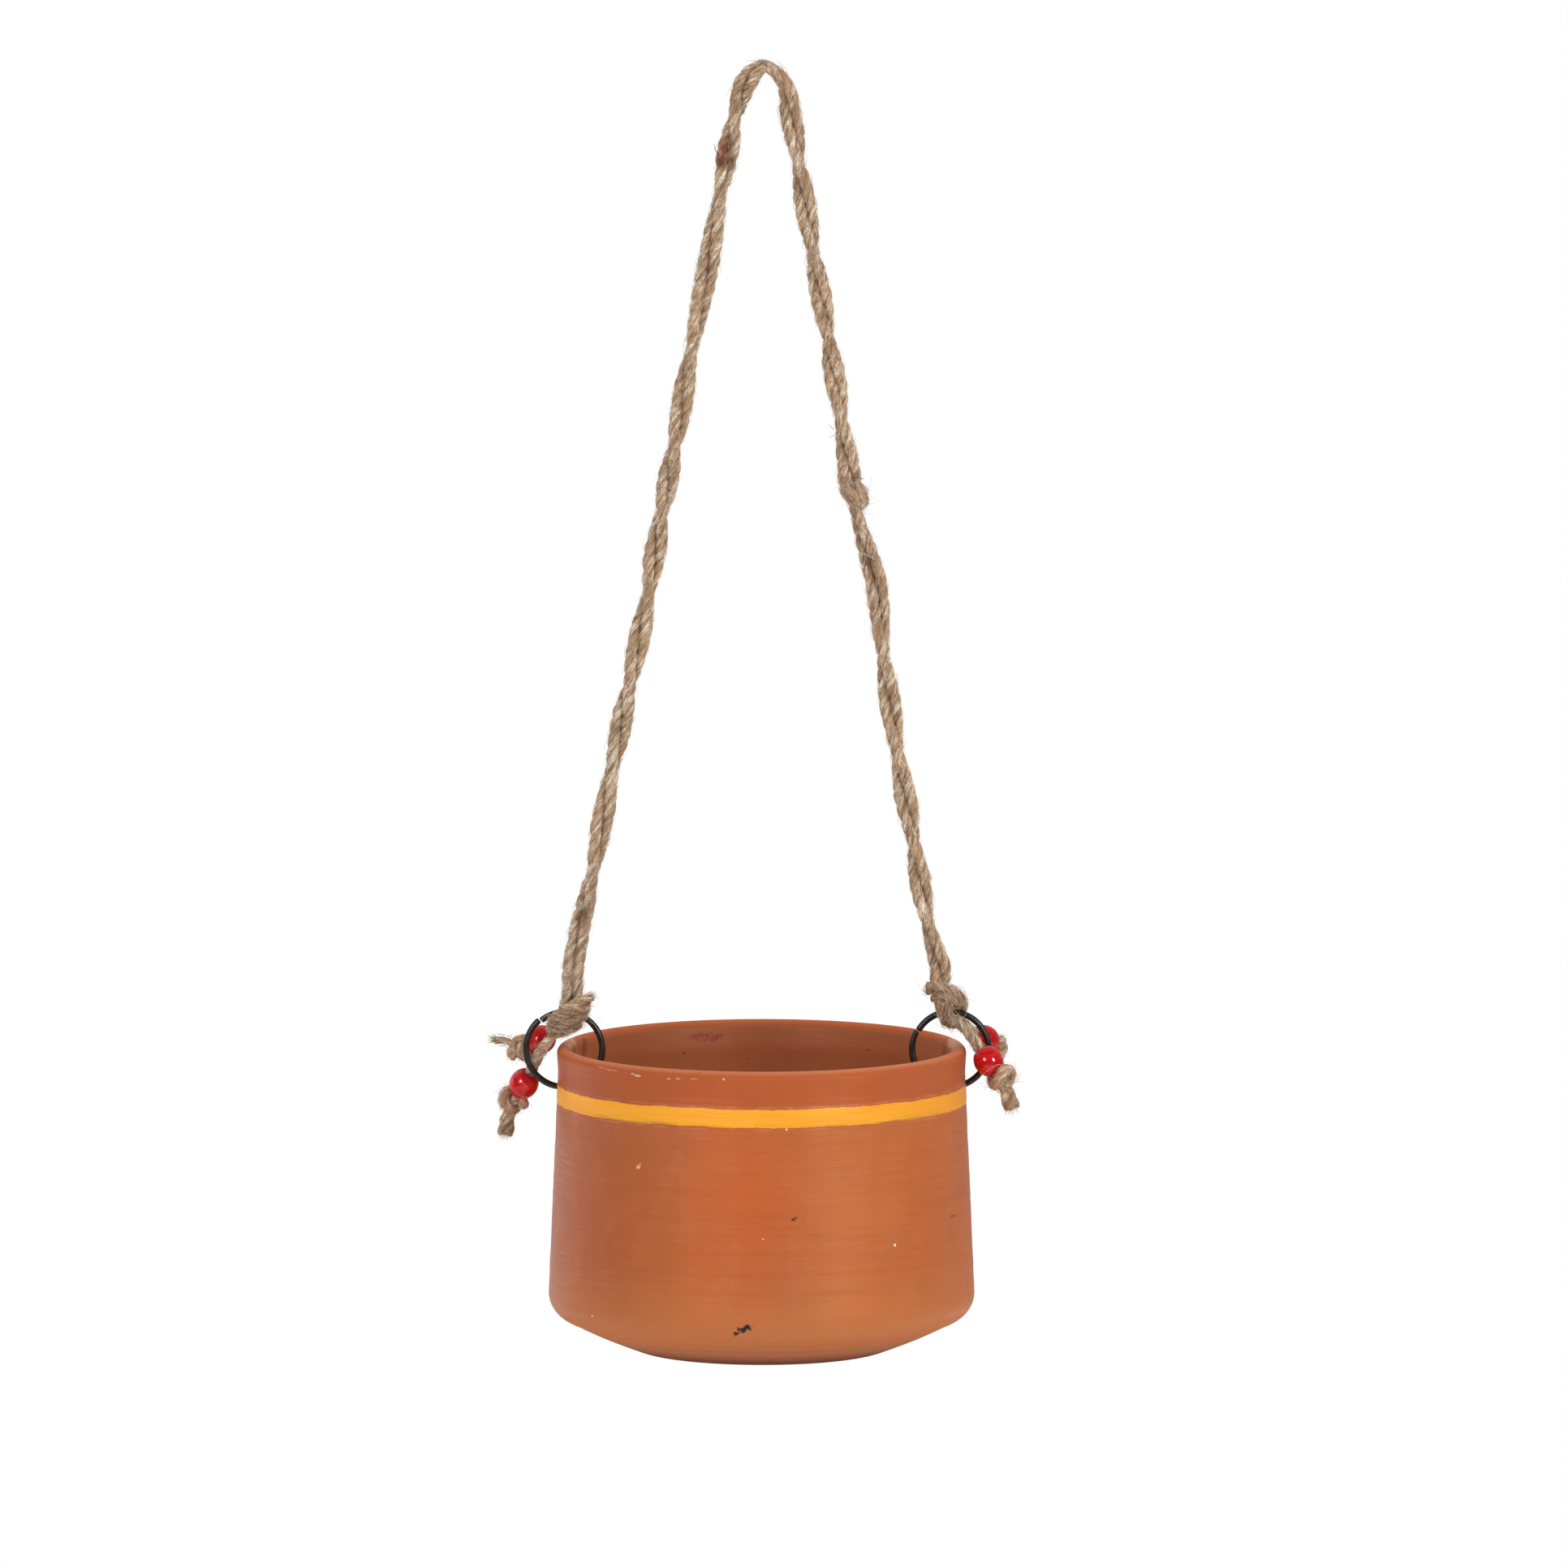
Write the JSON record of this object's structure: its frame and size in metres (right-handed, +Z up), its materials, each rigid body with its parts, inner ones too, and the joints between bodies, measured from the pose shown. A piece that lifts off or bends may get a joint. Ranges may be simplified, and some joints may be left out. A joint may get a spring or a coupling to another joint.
{
  "type": "hanging planter",
  "caption": "Terracotta pot with a painted band, hung by two wire rings through its wall from a handle of twisted jute cord with beaded tails.",
  "frame": {"origin": "inside top of the hanging loop, where the hook carries it", "axes": "+Z up, X from the left ring to the right ring, -Y towards the front"},
  "size_m": [0.217, 0.1748, 0.5334],
  "materials": {
    "terracotta": "unglazed fired clay with a hand-painted ochre band",
    "black_wire": "black enamelled wire",
    "jute": "plied natural jute",
    "red_glass": "opaque pressed glass, glossy"
  },
  "bodies": {
    "handle": {"handle_cord_a": "jute", "handle_cord_b": "jute", "join_knot": "jute"},
    "hitch_left": {"ring_left": "black_wire", "hitch_knot_left": "jute", "tail_front_left": "jute", "stopper_front_left": "jute", "tail_back_left": "jute", "stopper_back_left": "jute"},
    "hitch_right": {"ring_right": "black_wire", "hitch_knot_right": "jute", "tail_front_right": "jute", "stopper_front_right": "jute", "tail_back_right": "jute", "stopper_back_right": "jute"},
    "pot": {"pot": "terracotta"},
    "bead_front_left": {"bead_front_left": "red_glass"},
    "bead_back_left": {"bead_back_left": "red_glass"},
    "bead_front_right": {"bead_front_right": "red_glass"},
    "bead_back_right": {"bead_back_right": "red_glass"}
  },
  "joints": [
    {"name": "handle_fold", "type": "hinge", "parent": "handle", "child": "hitch_left", "pos_m": [-0.0776, 0, -0.375], "axis": [1, 0, 0], "range_deg": [-75, 75]},
    {"name": "handle_fold_right", "type": "hinge", "parent": "handle", "child": "hitch_right", "pos_m": [0.0736, 0, -0.375], "axis": [1, 0, 0], "range_deg": [-75, 75]},
    {"name": "pot_tilt", "type": "hinge", "parent": "hitch_left", "child": "pot", "pos_m": [-0.081, 0, -0.4197], "axis": [1, 0, 0], "range_deg": [-15, 15]},
    {"name": "bead_front_left_slide", "type": "slide", "parent": "hitch_left", "child": "bead_front_left", "axis": [0.4468, -0.3121, 0.8384], "range_m": [0, 0.0035]},
    {"name": "bead_back_left_slide", "type": "slide", "parent": "hitch_left", "child": "bead_back_left", "axis": [0.8191, -0.3296, 0.4695], "range_m": [0, 0.0025]},
    {"name": "bead_front_right_slide", "type": "slide", "parent": "hitch_right", "child": "bead_front_right", "axis": [-0.5745, 0.1776, 0.799], "range_m": [0, 0.006]},
    {"name": "bead_back_right_slide", "type": "slide", "parent": "hitch_right", "child": "bead_back_right", "axis": [-0.6606, -0.5505, 0.5105], "range_m": [0, 0.0025]}
  ],
  "couplings": [
    {"joint": "handle_fold_right", "follows": "handle_fold", "ratio": 1}
  ]
}
